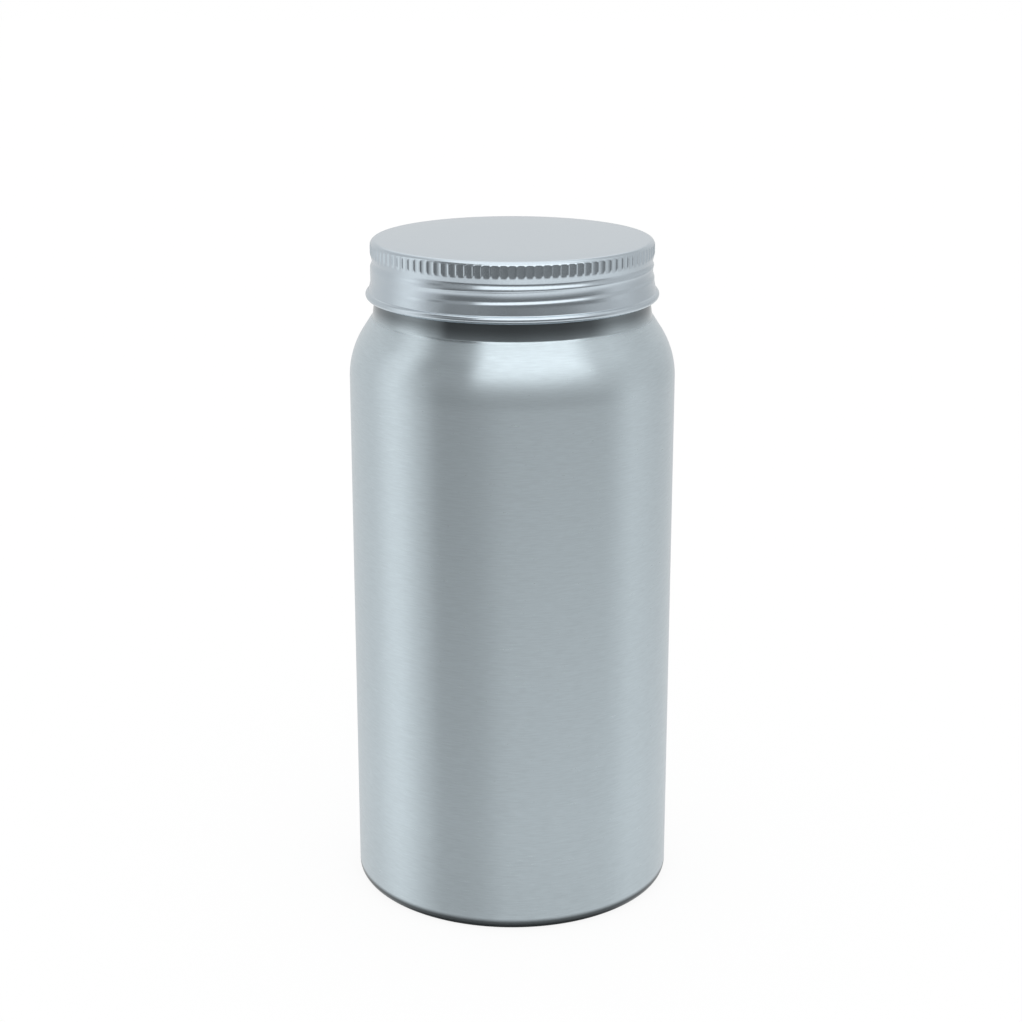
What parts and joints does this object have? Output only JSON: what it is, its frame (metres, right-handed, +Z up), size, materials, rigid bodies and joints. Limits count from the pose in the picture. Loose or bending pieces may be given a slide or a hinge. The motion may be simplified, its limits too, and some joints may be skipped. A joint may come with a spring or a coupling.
{
  "type": "aluminium bottle",
  "caption": "Shut wide-mouth aluminium bottle with a straight body, a rounded shoulder and a knurled screw cap.",
  "frame": {"origin": "centre of the ring that the bottle stands on", "axes": "+Z up along the bottle's axis; +Y away from the side shown, so the thread starts 80 degrees to the left of the front"},
  "size_m": [0.074, 0.074, 0.1528],
  "materials": {
    "bottle_aluminium": "brushed round the body, satin",
    "cap_aluminium": "plain satin"
  },
  "bodies": {
    "root": {"bottle": "bottle_aluminium", "cap": "cap_aluminium"}
  },
  "joints": []
}
